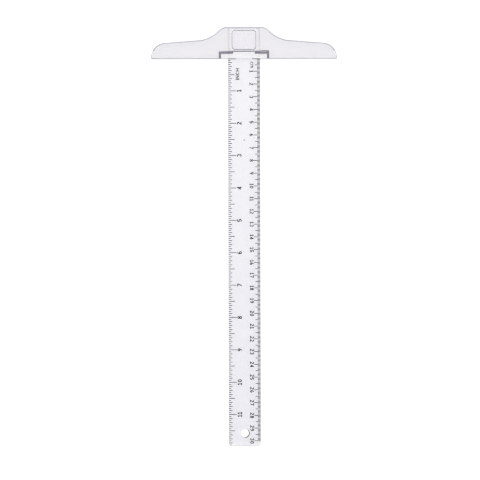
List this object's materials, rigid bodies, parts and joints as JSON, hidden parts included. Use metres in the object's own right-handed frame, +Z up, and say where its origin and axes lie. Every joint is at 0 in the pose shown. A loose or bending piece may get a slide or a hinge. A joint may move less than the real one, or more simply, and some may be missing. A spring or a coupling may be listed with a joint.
{
  "type": "t square",
  "caption": "Clear junior T square: a head with a working edge and a recess, and a blade with inch and centimetre scales and a hanging hole, which slides out of the head.",
  "frame": {"origin": "the zero of both scales: on the working edge of the head, at the middle of the blade's width, in the plane of the blade's underside, which lies on the drawing", "axes": "+X along the head, towards the centimetre edge of the blade; +Y from the working edge to the back of the head, so the blade runs towards -Y; +Z up, away from the drawing"},
  "size_m": [0.1452, 0.3286, 0.0061],
  "materials": {
    "clear_head": "polished clear moulded styrene",
    "clear_blade": "polished clear moulded styrene",
    "ink": "printed black ink, satin"
  },
  "bodies": {
    "head": {"head": "clear_head"},
    "blade": {"blade": "clear_blade", "zero_marks": "ink", "inch_sixteenth_marks": "ink", "inch_eighth_marks": "ink", "inch_half_marks": "ink", "inch_marks": "ink", "inch_numerals": "ink", "inch_label": "ink", "millimetre_marks": "ink", "half_centimetre_marks": "ink", "centimetre_marks": "ink", "centimetre_numerals": "ink", "centimetre_label": "ink"}
  },
  "joints": [
    {"name": "blade_slide", "type": "slide", "parent": "head", "child": "blade", "axis": [0, -1, 0], "range_m": [0, 0.03]}
  ]
}
